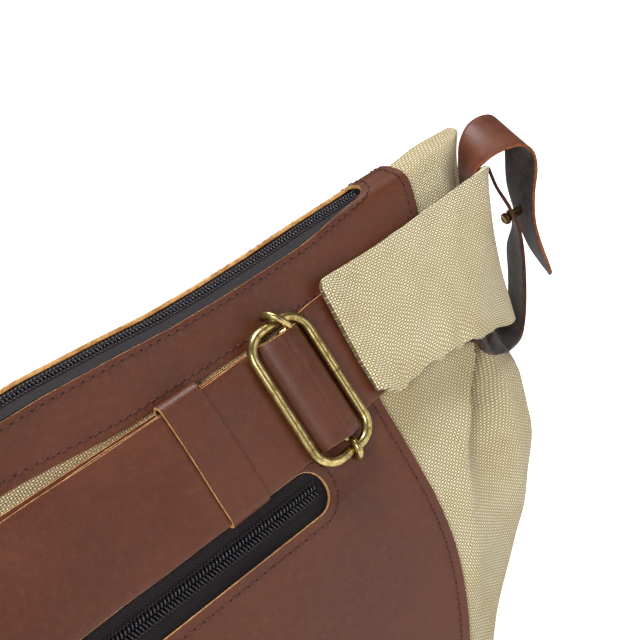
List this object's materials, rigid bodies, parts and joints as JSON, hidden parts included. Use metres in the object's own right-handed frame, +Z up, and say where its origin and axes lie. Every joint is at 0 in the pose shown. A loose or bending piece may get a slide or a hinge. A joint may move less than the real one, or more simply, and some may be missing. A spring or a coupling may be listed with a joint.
{
  "type": "hip bag",
  "caption": "Canvas hip bag with a leather top band and zip, a leather front pocket with its own zip, and a closed belt threaded through side loops.",
  "frame": {"origin": "middle of the flat base", "axes": "+X along the bag to the slider's side, the front faces -Y, +Z up"},
  "size_m": [0.3936, 0.081, 0.1541],
  "materials": {
    "canvas": "woven",
    "leather": "waxed",
    "loop_leather": "waxed",
    "brass": "antique",
    "zip_metal": "antique",
    "zip_tape": "woven",
    "zip_coil": "gloss"
  },
  "bodies": {
    "root": {"canvas_body": "canvas", "top_band": "leather", "top_zip_tape": "zip_tape", "top_zip_coil": "zip_coil", "top_zip_slider": "zip_metal", "front_panel": "leather", "front_zip_tape": "zip_tape", "front_zip_coil": "zip_coil", "front_zip_slider": "zip_metal", "leather_strap": "leather", "strap_keeper": "leather", "slider_frame": "brass", "slider_bar": "brass", "strap_ring": "brass", "canvas_belt": "canvas", "loop_upper_right": "loop_leather", "loop_upper_left": "loop_leather", "loop_lower_right": "loop_leather", "loop_lower_left": "loop_leather", "loop_stud_right": "brass", "loop_stud_left": "brass"}
  },
  "joints": []
}
